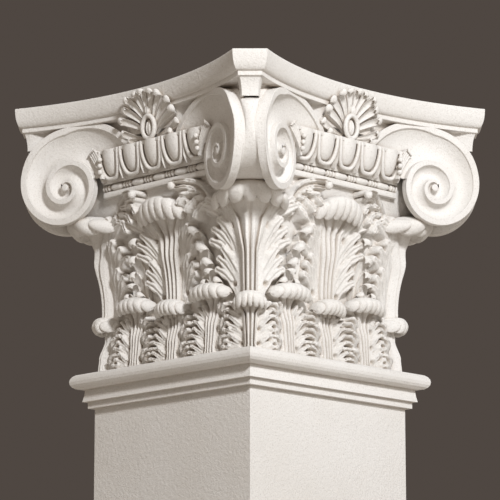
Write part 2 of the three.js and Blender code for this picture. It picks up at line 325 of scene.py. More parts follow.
def strokeRelief(x, y, start, middle, end, half, rise, teeth=0):
    # height of a leaflet over its curved middle line: a ridge with a round section and a round
    # end that widens and rises towards its end, with a fine groove along it
    t = np.linspace(0, 1, leaflet["points"])[:, None]
    line = quadratic(t, np.array(start), np.array(middle), np.array(end))
    foot, step = line[:-1], np.diff(line, axis=0)
    low, high = line.min(axis=0) - leaflet["margin"], line.max(axis=0) + leaflet["margin"]
    near = (x > low[0]) & (x < high[0]) & (y > low[1]) & (y < high[1])
    point = np.stack([x[near], y[near]], axis=-1)[:, None, :]
    share = np.clip(((point - foot) * step).sum(-1) / (step ** 2).sum(-1), 0, 1)
    away = np.linalg.norm(point - foot - share[..., None] * step, axis=-1)
    best = away.argmin(axis=1)
    rows = np.arange(len(best))
    along = (best + share[rows, best]) / len(foot)
    away = away[rows, best]
    wide = half[0] + (half[1] - half[0]) * smooth(*leaflet["widening"], along)
    tooth = np.sin(2 * np.pi * teeth * along) * smooth(*leaflet["toothing"], along)
    wide = wide * (1 + leaflet["toothDepth"] * tooth)
    tall = rise[0] + (rise[1] - rise[0]) * smooth(*leaflet["rising"], along)
    groove = np.exp(-(away / (leaflet["grooveHalf"] * wide)) ** 2) * (away < wide)
    relief = np.zeros_like(x)
    relief[near] = tall * dome(away / wide, leaflet["round"]) - leaflet["grooveDepth"] * tall * groove
    return relief


def leafletRelief(kind, x, y):
    # a leaf's lobes: leaflets that rise together from the stem and bend past the lobe's eye to
    # their own ends, with the eye sunk between them as a round hole
    leaf = foliage[kind]
    half, rise, teeth = leaf["half"], leaf["rise"], leaf["teeth"]
    bendX, bendY = leaf["bend"]
    shiftX, shiftY = foliage["eyeShift"]
    relief = np.zeros_like(x)
    for (eyeX, eyeY), tips in leaf["lobes"]:
        for k, (tipX, tipY) in enumerate(tips):
            start = (eyeX * foliage["startShare"] + foliage["startStep"] * k, eyeY - leaf["root"])
            middle = (eyeX * bendX + foliage["middleStep"] * k, eyeY + bendY * (tipY - eyeY))
            finger = strokeRelief(x, y, start, middle, (tipX, tipY), half, rise, teeth)
            relief = np.maximum(relief, finger)
        fromEye = (x - eyeX - shiftX) ** 2 + (y - eyeY - shiftY) ** 2
        relief = relief * (1 - np.exp(-(fromEye / leaf["eye"] ** 2) ** 2))
    return relief


def makeBell():
    # each side is one grid: the bell's sole, its carved height and its plain head
    f = foliage
    z = np.linspace(base, base + f["top"], f["rows"])[:, None]
    u = np.linspace(-1, 1, f["columns"])[None, :]
    half = bellHalf(z)
    s = u * half
    y = z - base + 0 * s
    fromMiddle = np.abs(s)
    fromQuarter = np.abs(fromMiddle - pierHalf / 2)
    fromCorner = half - fromMiddle
    relief = np.zeros_like(s)
    places = [("upper", fromMiddle), ("lower", fromMiddle), ("upper", fromCorner), ("lower", fromCorner)]
    for kind, x in places + [("lower", fromQuarter)]:
        relief = np.maximum(relief, leafletRelief(kind, x, y))
    for stroke in f["scroll"]:
        relief = np.maximum(relief, strokeRelief(fromMiddle, y, *stroke))
    relief = relief * (f["cornerShare"] + (1 - f["cornerShare"]) * smooth(*f["cornerFade"], fromCorner))
    mitre = np.sign(u) * smooth(f["mitreFrom"], 1.0, np.abs(u))
    carved = facePoint(s + relief * mitre, half + relief, z)
    plain = np.array([base, base + f["top"], base + bell["height"], top - bell["headDrop"]])[:, None]
    rings = facePoint(u * bellHalf(plain), bellHalf(plain), plain)
    skin = np.concatenate([rings[:1], carved, rings[1:]])
    onFourSides("bell", 80, [(skin, False, True)])


# abacus
abacus = {
    "reach": 327.0, "cornerWidth": 45.0, "hollow": 47.0, "ovoloHeight": 26.5, "ovoloDepth": 9.0,
    "filletHeight": 6.5, "filletInset": 10.0,
    "cavettoHeight": 25.0, "cavettoInset": 17.5, "cavettoStart": 2.0,
    "standBack": 12.0, "backFrom": (44.0, 66.0), "backTo": (208.0, 184.0), "underside": 50.0,
    # (inset, drop) of the top's edge and its arris
    "crown": [(8.0, 0.0), (1.0, 0.0), (0.3, 0.3)],
}


def abacusSide(inset, steps=96):
    # s and d along one hollow side of the abacus, an arc that ends on the cut corners
    a = abacus
    chordEnd = (a["reach"] - a["cornerWidth"] / 2) / rootTwo
    chordFace = (a["reach"] + a["cornerWidth"] / 2) / rootTwo
    radius = (chordEnd ** 2 + a["hollow"] ** 2) / (2 * a["hollow"])
    centre = chordFace - a["hollow"] + radius
    drawn = radius + inset
    reach = (a["reach"] - inset) * rootTwo
    gap = (reach - centre) / rootTwo
    end = (reach - centre) / 2 + np.sqrt(drawn ** 2 - gap ** 2) / rootTwo
    angle = np.arcsin(end / drawn) * np.linspace(-1, 1, steps)
    return drawn * np.sin(angle), centre - drawn * np.cos(angle)


def abacusRing(inset, z):
    # the outline at one height; the cavetto stands back where the volutes pass in front of it
    a = abacus
    s, d = abacusSide(inset)
    if z < top - a["ovoloHeight"] - a["filletHeight"]:
        side = np.abs(s)
        d = d - a["standBack"] * smooth(*a["backFrom"], side) * smooth(*a["backTo"], side)
    return np.concatenate([turned(facePoint(s, d, z), quarter) for quarter in range(4)])


def abacusProfile():
    # inset and height of the moulding from its top: arris, ovolo, fillet and cavetto
    a = abacus
    edge = 0.5
    low = top - a["ovoloHeight"]
    filletLow = low - a["filletHeight"]
    cavettoLow = filletLow - a["cavettoHeight"] - 0.3
    crown = [(inset, top - drop) for inset, drop in a["crown"]]
    share = np.sin(np.linspace(0, np.pi / 2, 12))
    ovolo = np.stack([a["ovoloDepth"] * (1 - dome(share, 2)), top - 1 - (a["ovoloHeight"] - 1) * share], 1)
    fillet = [
        (a["filletInset"] - 0.6, low), (a["filletInset"], low - edge),
        (a["filletInset"], filletLow + edge), (a["filletInset"] + edge, filletLow),
    ]
    turn = np.linspace(0, np.pi / 2, 9)
    cavettoTop = a["filletInset"] + a["cavettoStart"]
    inwards = cavettoTop + (a["cavettoInset"] - cavettoTop) * np.sin(turn)
    cavetto = np.stack([inwards, filletLow - a["cavettoHeight"] * (1 - np.cos(turn)) ** 0.8], 1)
    under = [(a["cavettoInset"] + 0.6, cavettoLow), (a["cavettoInset"] + a["underside"], cavettoLow)]
    return np.concatenate([crown, ovolo, fillet, cavetto, under])


def makeAbacus():
    # the moulding's outlines in turn, and a flat fan of faces that closes the top
    rings = np.stack([abacusRing(inset, z) for inset, z in abacusProfile()])
    middle = np.broadcast_to(np.array([0, 0, top]), rings[:1].shape)
    sheets = Sheets()
    sheets.add(rings, closed=True)
    sheets.add(np.concatenate([middle, rings[:1]]), closed=True)
    sheets.piece("abacus", "carved_stone", carvedStone, 32)


# Volutes. t counts turns from the scroll's top, and the arm before it is below nought.
volute = {
    "face": 179.0, "planRadius": 400.0, "eyeAlong": 150.0, "eyeDrop": 117.5, "bottomRise": 7.5,
    "spiralSize": 115.7, "spiralShrink": 0.599, "spiralInset": 31.0, "armSlope": 128.0,
    "armStart": -0.215, "turns": 2.12, "innerSide": 0.80,
    "armForward": 1.0, "armFrom": (-20.0, -90.0), "topForward": 4.0, "topFrom": (20.0, 60.0),
    "tuck": 14.0, "tuckUp": (46.0, 36.0), "tuckAlong": (-62.0, -85.0),
    "eyeForward": 4.0, "eyeTurns": (0.6, 2.0),
    "filletWidth": 9.6, "filletShrink": 0.78, "filletMost": 0.42,
    # across the fillet: places as shares of its width, and the depths of all but the last
    "filletPlaces": [0, 0.06, 0.5, 0.94, 1.0, 1.03], "filletDepths": [0.8, 0.1, 0.0, 0.1, 0.6],
    "step": 3.4, "stepMost": 0.35, "channelDepth": 12.0, "channelMost": 0.44,
    "coveFrom": 1.08, "coveTo": 0.985, "coveFall": 0.28, "coveDepth": 0.85, "coveRound": 0.85,
    # the outer wall from its face to its back: depth, rounding of its edges, and share of the sink
    "wallBack": [0.8, 1.4, 3.0, 7.0, 10.4, 11.4, 11.9, 12.3, 13.0, 14.4],
    "wallDrawn": [-0.6, -0.15, 0, 0, 0, 0.2, 1.2, 1.8, 1.8, 1.8],
    "wallSink": [0, 0, 0, 0, 0, 0, 0, 0.2, 0.7, 1.0],
    "wallStart": 0.6, "drawnTurns": (0.2, 0.36), "sink": 13.0, "sinkTurns": (0.22, 0.48),
    "webBulge": 7.5, "bulgeTurns": (0.26, 0.12), "webHollow": 7.0, "hollowTurns": (0.26, 0.45),
    "webRound": 0.4,
    # radius and depth of the eye's button
    "eyeRadius": [5.0, 4.8, 4.2, 2.0, 0.0], "eyeDepth": [2.6, 0.6, 0.1, 0.0, 0.0],
}
eyeHeight = top - volute["eyeDrop"]


def voluteRadius(t):
    # outer edge: a spiral that shrinks by the same share each turn and is a little flat at its
    # bottom, and a straighter arm before it
    rise = volute["bottomRise"] * np.sin(np.pi * np.clip(t, 0, 1)) ** 2
    spiral = volute["spiralSize"] * volute["spiralShrink"] ** t - volute["spiralInset"] - rise
    return np.where(t < 0, spiral - volute["armSlope"] * t, spiral)


def volutePoint(t, radius, depth):
    # a point t turns round the eye, on the arc that the volutes follow in plan. The top and the
    # arm stand forward of it, clear of the abacus, and the arm's end tucks in behind the egg band
    v = volute
    along = radius * np.sin(t * 2 * np.pi)
    up = radius * np.cos(t * 2 * np.pi)
    angle = np.arcsin(v["eyeAlong"] / v["planRadius"]) + along / v["planRadius"]
    depth = depth - v["armForward"] * smooth(*v["armFrom"], along)
    depth = depth - v["topForward"] * smooth(*v["topFrom"], up)
    depth = depth + v["tuck"] * smooth(*v["tuckUp"], up) * smooth(*v["tuckAlong"], along)
    reach = v["planRadius"] + depth
    d = v["face"] + v["planRadius"] - reach * np.cos(angle)
    return facePoint(reach * np.sin(angle), d, eyeHeight + up)


def acrossCorner(points):
    # mirrored in the upright plane through the front right corner
    return np.stack([-points[..., 1], -points[..., 0], points[..., 2]], axis=-1)


def voluteFace():
    # from each turn's outer edge to the next: a flat fillet, a step down and a cove whose floor
    # follows half a sine wave and lies deeper beside the inner turn
    v = volute
    t = np.linspace(v["armStart"], v["turns"], 240)[:, None]
    outer = voluteRadius(t)
    band = np.maximum(outer - np.maximum(voluteRadius(t + 1), 2.0), 0.1)
    fillet = np.minimum(v["filletWidth"] * v["filletShrink"] ** np.maximum(t, 0) / band, v["filletMost"])
    onFillet = fillet * np.array(v["filletPlaces"])
    cove = np.linspace(0, 1, 20)
    onCove = fillet * v["coveFrom"] + (v["coveTo"] - fillet * v["coveFrom"]) * cove
    share = np.concatenate([onFillet, onCove, 0 * t + 1], axis=1)
    deep = np.minimum(v["channelDepth"], v["channelMost"] * band)
    step = np.minimum(v["step"], v["stepMost"] * deep)
    hollow = v["coveDepth"] * (deep - step) * np.sin(np.pi * cove) ** v["coveRound"]
    rim = np.array(v["filletDepths"]) + 0 * t
    depth = np.concatenate([rim, 0.9 * step, step + v["coveFall"] * deep * cove + hollow, rim[:, :1]], axis=1)
    forward = smooth(*v["eyeTurns"], t) * (1 - share) + smooth(*v["eyeTurns"], t + 1) * share
    return volutePoint(t, outer - share * band, depth - v["eyeForward"] * forward)


def voluteEdge():
    # the outer wall of the scroll, from its face back to the web between a corner's two faces
    v = volute
    t = np.linspace(v["armStart"], v["innerSide"], 150)[:, None]
    drawn = v["wallStart"] + np.array(v["wallDrawn"]) * smooth(*v["drawnTurns"], t)
    sink = np.array(v["wallSink"]) * v["sink"] * smooth(*v["sinkTurns"], t)
    return volutePoint(t, voluteRadius(t) - drawn - sink, np.array(v["wallBack"]) + 0 * t)


def voluteWeb(edge):
    # joins a corner's two walls: it swells out under the abacus and sinks towards the foot
    v = volute
    near, far = edge[:, -1:], acrossCorner(edge[:, -1:])
    share = np.linspace(0, 1, 13)[None, :, None]
    t = np.linspace(v["armStart"], v["innerSide"], len(edge))[:, None, None]
    swell = v["webBulge"] * smooth(*v["bulgeTurns"], t) - v["webHollow"] * smooth(*v["hollowTurns"], t)
    swell = swell * (4 * share * (1 - share)) ** v["webRound"]
    return near * (1 - share) + far * share + np.array([1, -1, 0]) / rootTwo * swell


def makeVolutes():
    # each piece is a corner's two faces, walls and eyes, and the web between them
    face = voluteFace()
    edge = voluteEdge()
    web = voluteWeb(edge)
    t = np.linspace(0, 1, 40)[:, None]
    eyeDepth = np.array(volute["eyeDepth"]) - volute["eyeForward"] + 0 * t
    eye = volutePoint(t, np.array(volute["eyeRadius"]), eyeDepth)
    parts = [(web, False, False)]
    for grid, flip in ((face, True), (edge, False), (eye, True)):
        parts += [(grid, False, flip), (acrossCorner(grid), False, not flip)]
    onFourSides("volutes", 38, parts)


# egg band
eggBand = {
    "half": 112.0, "pitch": 42.0, "eggs": 5, "height": 44.0, "footOut": 174.0, "headOut": 184.0,
    "filletHeight": 8.0, "filletOut": 172.5, "flatHeight": 5.0, "flatOut": 191.5,
    "behind": 150.0, "edge": 0.5,
    "bead": 10.0, "beadOut": 171.0, "seatOut": 167.0, "beadRadius": 5.0, "beadShare": 0.30,
    "reelRadius": 4.7, "reelShare": 0.19, "threadRadius": 1.8,
    "eggWide": 15.0, "eggTall": 35.0, "eggDeep": 10.0, "eggDrop": 1.0, "eggBlunt": 0.62,
    "rimWide": 18.0, "rimTall": 39.5, "rimRadius": 2.9, "rimLift": 6.0, "rimDrop": 0.5,
    "dartFoot": 1.5, "dartDrop": 7.0, "dartDeep": 7.6,
    # half width of a dart at shares of its height
    "dartShape": [(0, 0.4), (0.22, 4.6), (0.4, 2.0), (0.45, 1.4), (0.9, 1.2), (1, 1.2)],
}
bandBase = base + bell["height"]
beadBase = bandBase + eggBand["filletHeight"]
ovoloBase = beadBase + eggBand["bead"]
bandTop = ovoloBase + eggBand["height"]


def ovoloOut(z):
    # the egg band's ground: a quarter round that swells towards its top
    e = eggBand
    share = np.clip((z - ovoloBase) / e["height"], 0, 1)
    return e["footOut"] + (e["headOut"] - e["footOut"]) * np.sin(share * np.pi / 2) ** 0.9


def tube(path, radius, sides=10):
    # a round section carried along paths; a path's points lie on the axis before the last
    step = np.gradient(path, axis=-2)
    step /= np.linalg.norm(step, axis=-1, keepdims=True) + 1e-9
    side = np.cross(step, np.array([0, -1.0, 0]))
    side /= np.linalg.norm(side, axis=-1, keepdims=True) + 1e-9
    out = np.cross(side, step)
    angle = np.linspace(0, 2 * np.pi, sides, endpoint=False)
    around = side[..., None, :] * np.cos(angle)[:, None] + out[..., None, :] * np.sin(angle)[:, None]
    return path[..., None, :] + around * radius


def bandGround():
    # (d, z) of the fillet, the bead's seat, the quarter round and the flat on top, along the face
    e = eggBand
    s = np.linspace(-e["half"], e["half"], 90)
    flatBase = bandTop - e["flatHeight"]
    z = np.linspace(ovoloBase, flatBase, 12)
    foot = [
        (e["behind"], bandBase), (e["filletOut"] - e["edge"], bandBase),
        (e["filletOut"], bandBase + e["edge"]), (e["filletOut"], beadBase - e["edge"]),
        (e["filletOut"] - e["edge"], beadBase), (e["seatOut"], beadBase), (e["seatOut"], ovoloBase),
    ]
    head = [
        (e["flatOut"] - e["edge"], flatBase), (e["flatOut"], flatBase + e["edge"]), (e["flatOut"], bandTop),
        (e["behind"], bandTop),
    ]
    profile = np.concatenate([foot, np.stack([ovoloOut(z), z], axis=-1), head])
    return facePoint(s[None, :], profile[:, :1], profile[:, 1:])


def bandBead():
    # long olives and pairs of thin reels, turned round the line along the face
    e = eggBand
    along = np.linspace(-e["half"], e["half"], 560)[:, None]
    phase = (along / e["pitch"] + 0.5) % 1.0
    olive = e["beadRadius"] * dome(np.abs((phase - 0.5) / e["beadShare"]), 4)
    reelPhase = np.where(phase < 0.5, phase, phase - 1) / e["reelShare"]
    inReel = np.abs(((reelPhase + 1) * 1.5) % 1.0 - 0.5) / 0.46
    reel = e["reelRadius"] * dome(inReel, 2) * (np.abs(reelPhase) < 1)
    girth = np.maximum(np.maximum(olive, reel), e["threadRadius"])
    angle = np.linspace(-1.9, 1.9, 11)
    z = beadBase + e["bead"] / 2 + girth * np.sin(angle)
    return facePoint(along, e["beadOut"] + girth * np.cos(angle), z)


def bandEggs(centres):
    # an egg leans out on the quarter round, blunt end up, and a flat lid closes it
    e = eggBand
    u = np.linspace(0, np.pi / 2, 14)[:, None]
    v = np.linspace(0, 2 * np.pi, 24, endpoint=False)[None, :]
    wide = np.sin(u) ** e["eggBlunt"]
    z = bandTop - e["eggDrop"] - e["eggTall"] * np.cos(u) ** 0.9
    s = centres[:, None, None]
    d = ovoloOut(z) + 1 + e["eggDeep"] * wide * np.cos(v)
    eggs = facePoint(s + e["eggWide"] * wide * np.sin(v), d, z)
    lid = np.broadcast_to(facePoint(s, ovoloOut(bandTop), bandTop - e["eggDrop"]), eggs[:, -1:].shape)
    return np.concatenate([eggs, (eggs[:, -1:] + lid) / 2, lid], axis=1)


def bandRims(centres):
    # a thick rim round each egg, open at the top
    e = eggBand
    turn = np.linspace(-np.pi / 2, np.pi / 2, 31)
    s = centres[:, None] + e["rimWide"] * np.sign(turn) * np.abs(np.sin(turn)) ** e["eggBlunt"]
    z = bandTop - e["rimDrop"] - e["rimTall"] * np.cos(turn) ** 0.85
    return tube(facePoint(s, ovoloOut(z) + e["rimLift"], z), e["rimRadius"])


def bandDarts(centres):
    # a shaft with a diamond head between the rims, ridged along its middle
    e = eggBand
    rise = np.linspace(0, 1, 13)[:, None]
    half = np.interp(rise, *zip(*e["dartShape"]))
    across = np.array([-1, -0.5, 0, 0.5, 1])[None, :]
    z = ovoloBase + e["dartFoot"] + rise * (e["height"] - e["dartDrop"])
    ridge = (e["dartDeep"] + half * 0.5) * (1 - np.abs(across))
    return facePoint(centres[:, None, None] + half * across, ovoloOut(z) + 0.2 + ridge, z)


def makeEggBand():
    # an egg in its rim at each pitch, and darts half way between them and at both ends
    e = eggBand
    centres = (np.arange(e["eggs"]) - (e["eggs"] - 1) / 2) * e["pitch"]
    gaps = (np.arange(e["eggs"] + 1) - e["eggs"] / 2) * e["pitch"]
    onFourSides("egg_band", 50, [
        (bandGround(), False, True), (bandBead(), False, False), (bandEggs(centres), True, True),
        (bandRims(centres), True, False), (bandDarts(gaps), False, True),
    ])


# leaves with rolled heads
def smoothCurve(points, steps):
    # a curve through all the points, a cubic between each two of them
    points = np.asarray(points, float)
    ends = np.concatenate([2 * points[:1] - points[1:2], points, 2 * points[-1:] - points[-2:-1]])
    at = np.linspace(0, len(points) - 1 - 1e-9, steps)
    i = at.astype(int)
    t = (at - i)[:, None]
    a, b, c, d = ends[i], ends[i + 1], ends[i + 2], ends[i + 3]
    bent = (2 * a - 5 * b + 4 * c - d) * t ** 2 + (3 * b - a - 3 * c + d) * t ** 3
    return 0.5 * (2 * b + (c - a) * t + bent)


def normalsOf(grid):
    # unit normals of a grid of points, from its two slopes
    n = np.cross(np.gradient(grid, axis=-3), np.gradient(grid, axis=-2))
    return n / (np.linalg.norm(n, axis=-1, keepdims=True) + 1e-9)


def raised(grid, relief):
    # moves a sheet's points along its normals, away from the bell
    normals = normalsOf(grid)
    outward = np.sign(np.median(normals[: grid.shape[0] // 3, :, 2]))
    return grid + normals * relief[..., None] * outward


def leafPlace(along, x, out, z, rounding):
    # x across the leaf and out from the bell; a leaf without a place along the face wraps a corner
    if along is not None:
        return facePoint(along + x, bellHalf(z) + out, z)
    angle = np.clip(x / rounding, -np.pi / 4, np.pi / 4)
    straight = np.maximum(0, np.abs(x) - rounding * np.pi / 4) / rootTwo
    across = rounding * np.sin(angle) + np.sign(x) * straight
    reach = bellHalf(z) * rootTwo + out - rounding * (1 - np.cos(angle)) - straight
    return facePoint((reach + across) / rootTwo, (reach - across) / rootTwo, z)


# the leaf's section on its middle line, as shares of its reach and of its roll's height below the top
leafSection = [
    (0.20, -1.9), (0.22, -1.5), (0.25, -1.15), (0.32, -0.90), (0.44, -0.84), (0.56, -0.96),
    (0.64, -1.12), (0.74, -1.18), (0.86, -1.08), (0.96, -0.86), (1.0, -0.60), (0.95, -0.34),
    (0.82, -0.13), (0.62, -0.02), (0.38, 0.0), (0.17, -0.12), (0.0, -0.34), (-0.14, -0.6),
]
# the shares of its height at which a stem has its half widths; the last two half widths are these
# shares of the head's
stemRise = [0, 0.15, 0.55, 0.86, 1]
stemSpread = (0.45, 0.82)
# seams and pipes along the stem: (place, width, height), the first two as shares of the half width
stemPipes = [(0.0, 0.055, -4.0), (0.25, 0.12, 2.4), (0.52, 0.065, -5.2), (0.74, 0.10, 2.0)]
# how every rolled head is rounded at its sides, lipped at its lower edge and smoothed on its crown;
# lip and crown stand at shares of the roll's height below the top
rolledHead = {
    "round": 3.4, "sideReach": 0.20, "stemReach": 0.45, "ribCrowding": 0.92, "ribRound": 2.5,
    "lipDrop": 1.16, "lipHalf": 0.16, "lipGain": 1.1, "crownDrop": (0.75, 0.1), "crownSide": (0.9, 0.4),
    "crownLoss": 0.8, "edgeFrom": 0.9, "edgeSink": 4.0,
}
upperLeaf = {
    "foot": base + 60, "waist": 13.0, "footHalf": 17.0, "roll": 28.0, "out": 34.0,
    "standoff": 12.0, "gadroons": 7, "gadroonDepth": 4.6, "droop": 13.0,
    "rows": 100, "columns": 88, "rounding": 62.0,
}
lowerLeaf = {
    "foot": base, "waist": 9.0, "footHalf": 11.0, "roll": 19.5, "out": 35.0,
    "standoff": 9.0, "gadroons": 7, "gadroonDepth": 3.0, "droop": 7.0,
    "rows": 64, "columns": 60, "rounding": 36.0,
}


def leafSpine(leaf, height):
    # reach and height of the leaf's middle line, from its foot over the roll to its back, and
    # how far each point belongs to the roll
    roll, out = leaf["roll"], leaf["out"]
    upright = np.linspace(0, max(height - 2.75 * roll, 0.2 * height), 5)
    stem = [(leaf["standoff"] + 0.04 * out * i / 4, z) for i, z in enumerate(upright)]
    section = [(share * out, height + fall * roll) for share, fall in leafSection]
    curve = smoothCurve(stem + section, leaf["rows"])
    part = np.linspace(0, len(stem) + len(section) - 1, leaf["rows"])
    return curve[:, :1], curve[:, 1:], smooth(len(stem) + 2.2, len(stem) + 5.0, part)[:, None]


def leafSheet(leaf, height, half):
    # the leaf's own sheet, as x, y and height off the bell: paired pipes beside a sunk seam that
    # flare into a gadrooned roll with rounded, hanging ends
    h = rolledHead
    out, y, inRoll = leafSpine(leaf, height)
    roll, reach = leaf["roll"], leaf["out"]
    u = np.linspace(-1, 1, leaf["columns"])[None, :]
    side = np.abs(u)
    rise = np.clip(y / (height - roll), 0, 1)
    stemHalf = [leaf["footHalf"], leaf["waist"], leaf["waist"] + 2] + [share * half for share in stemSpread]
    narrow = np.interp(rise, stemRise, stemHalf)
    x = u * (narrow + (half - narrow) * inRoll)
    coreOut, coreY = 0.5 * reach, height - 0.5 * roll
    shrink = 1 - (1 - dome(side, h["round"])) * inRoll
    outHere = coreOut + (out - coreOut) * shrink - h["sideReach"] * reach * side ** 2 * inRoll
    outHere = outHere - (out - leaf["standoff"]) * h["stemReach"] * side ** 1.5 * (1 - inRoll)
    yHere = coreY + (y - coreY) * shrink - leaf["droop"] * side ** 2 * inRoll
    beside = besideRib(np.sign(u) * side ** h["ribCrowding"], leaf["gadroons"])
    gadroon = leaf["gadroonDepth"] * (np.sqrt(np.clip(1 - 0.99 * beside ** h["ribRound"], 0, 1)) - 1)
    below = (height - y) / roll
    lip = np.exp(-((below - h["lipDrop"]) / h["lipHalf"]) ** 2) * (out > 0.6 * reach)
    crown = smooth(*h["crownDrop"], below) * smooth(*h["crownSide"], side)
    pipes = sum(tall * np.exp(-((side - place) / wide) ** 2) for place, wide, tall in stemPipes)
    pipes = pipes * np.where(rise < 0.9, 1, 0.8)
    edge = -(leaf["standoff"] + h["edgeSink"]) * smooth(h["edgeFrom"], 1.0, side)
    onHead = gadroon * inRoll * (1 + h["lipGain"] * lip - h["crownLoss"] * crown)
    relief = onHead + (pipes + edge * (1 - inRoll)) * (1 - inRoll)
    return raised(np.stack(np.broadcast_arrays(x, yHere, outHere), axis=-1), relief)


def makeLeaf(name, leaf, height, along, half):
    # lays a leaf's own sheet on the bell's face, or round its corner
    x, y, out = np.moveaxis(leafSheet(leaf, height, half), -1, 0)
    rounding = 8 + leaf["rounding"] * smooth(0.0, 0.6, (out - leaf["standoff"]) / leaf["out"])
    onFourSides(name, 70, [(leafPlace(along, x, out, leaf["foot"] + y, rounding), False, True)])


# (name, leaf, height, place along the face, half width); those with no place wrap a corner
quarterAlong = pierHalf / 2 - 2
leafPlaces = [
    ("upper_leaf_middle", upperLeaf, 162.0, 0.0, 47.0),
    ("upper_leaf_corner", dict(upperLeaf, roll=25.0, droop=9.0), 159.0, None, 73.0),
    ("lower_leaf_corner", dict(lowerLeaf, out=28.0), 79.0, None, 30.0),
    ("lower_leaf_middle", lowerLeaf, 85.0, 0.0, 29.0),
    ("lower_leaf_left", lowerLeaf, 97.0, -quarterAlong, 37.0),
    ("lower_leaf_right", lowerLeaf, 97.0, quarterAlong, 37.0),
]


# Fronds are bands that bend over at their tips, for the palmettes and sprigs. The arch is a frond's
# middle line over its tip, as shares of its reach and of its roll's height below the top.
frond = {
    "rows": 26, "columns": 17, "lipSteps": 5, "thick": 0.34, "gap": 3.0, "slack": 1.08, "rootDrop": 8.0,
    "round": 3.5, "sideReach": 0.10, "sideDroop": 0.22, "tipFrom": 0.78, "tipLoss": 0.42,
    "ribRound": 2.2, "hollowSide": 0.8, "edgeFrom": 0.88,
    "arch": [
        (0.06, -1.7), (0.12, -1.1), (0.26, -0.55), (0.48, -0.22), (0.72, -0.26), (0.88, -0.56),
        (0.88, -0.95),
    ],
}


def frondLine(length, roll, reach):
    # height off the ground and distance along it of a frond's middle line, and where its arch begins
    gap = frond["gap"]
    upright = [(1.5, 0.0), (2.2, 0.22 * length), (gap, 0.42 * length)]
    arch = [(gap + share * reach, length + fall * roll) for share, fall in frond["arch"]]
    arch = [point for point in arch if point[1] > 0.5 * length or point[0] > 0.5 * reach]
    part = np.linspace(0, len(upright) + len(arch) - 1, frond["rows"])
    inArch = smooth(len(upright) + 0.2, len(upright) + 2.6, part)
    return smoothCurve(upright + arch, frond["rows"]), inArch


def frondSheet(ground, start, end, half, roll, reach, bend, fingers=1, hollow=0.0, foot=0.22):
    # A lobe: a band that sweeps from its start to its end, rises off its ground, arches over and
    # hangs. Its grid runs up the front and the arch's underside, round the lip and back over the
    # top, and the band thins to nothing at its sides. It is fluted, or hollowed along its middle.
    f = frond
    rows, lipSteps = f["rows"], f["lipSteps"]
    start, end = np.array(start, float), np.array(end, float)
    middle = start + (end - start) * np.array(bend)
    length = np.linalg.norm(end - start) * f["slack"]
    line, inArch = frondLine(length, roll, reach)
    step = np.gradient(line, axis=0)
    step /= np.linalg.norm(step, axis=1, keepdims=True)
    front = np.stack([step[:, 1], -step[:, 0]], axis=1)
    turn = np.linspace(0, np.pi, lipSteps + 2)[1:-1, None]
    lip = np.cos(turn) * front[-1] + np.sin(turn) * step[-1]
    back = np.arange(rows - 1, rows // 2 - 2, -1)
    index = np.concatenate([np.arange(rows), np.full(lipSteps, rows - 1), back])
    offset = np.concatenate([front, lip, -front[back]])
    behind = (np.arange(len(index)) >= rows + lipSteps)[:, None]
    inArch = inArch[index][:, None]
    part = (index / (rows - 1))[:, None]
    r = np.linspace(-1, 1, f["columns"])[None, :]
    side = np.abs(r)
    girth = 0.5 * f["thick"] * roll * (1 - (1 - dome(side, f["round"])) * inArch)
    h = line[index][:, :1] + offset[:, :1] * girth - f["sideReach"] * reach * side ** 2 * inArch
    h = h - f["rootDrop"] * (1 - inArch) * behind
    along = line[index][:, 1:] + offset[:, 1:] * girth - f["sideDroop"] * roll * side ** 2 * inArch
    t = along / length
    wide = half * (foot + (1 - foot) * smooth(0.0, 0.8, t))
    wide = wide * (1 - f["tipLoss"] * smooth(f["tipFrom"], 1, part))
    curve = quadratic(t[..., None], start, middle, end)
    slope = 2 * (1 - t)[..., None] * (middle - start) + 2 * t[..., None] * (end - middle)
    slope = slope / np.linalg.norm(slope, axis=-1, keepdims=True)
    x = curve[..., 0] + r * wide * slope[..., 1]
    y = curve[..., 1] - r * wide * slope[..., 0]
    under = ground(y)
    if fingers > 1:
        flute = np.sqrt(np.clip(1 - 0.97 * besideRib(r, fingers) ** f["ribRound"], 0, 1)) - 1
        relief = (0.15 * half + 0.3) * flute * (0.35 + 0.65 * smooth(0.1, 0.6, t))
    else:
        relief = -hollow * np.clip(1 - (side / f["hollowSide"]) ** 2, 0, 1) * (1 - behind)
    grid = raised(np.stack(np.broadcast_arrays(x, y, h + under), axis=-1), relief)
    grid[..., 2] -= (np.minimum(under, 9.0) * 0.8 + h) * smooth(f["edgeFrom"], 1.0, side) * (1 - inArch)
    return grid


def mirroredPair(local, place):
    # a frond in its place on the right of a face, and its mirror image on the left
    return [(place(local), False, True), (place(local * np.array([-1, 1, 1])), False, False)]


def roundBody(s, d, z, wide, deep, tall, steps, slit=0.0):
    # a ball or a bud, with a slit down its front where one is asked for
    u = np.linspace(0, np.pi, steps[0])[:, None]
    v = np.linspace(0, 2 * np.pi, steps[1], endpoint=False)[None, :]
    cut = 1 - slit * np.exp(-(np.sin(v) / 0.25) ** 2) * (np.cos(v) > 0)
    outwards = deep * np.sin(u) * np.cos(v) * cut
    return facePoint(s + wide * np.sin(u) * np.sin(v), d + outwards, z - tall * np.cos(u))


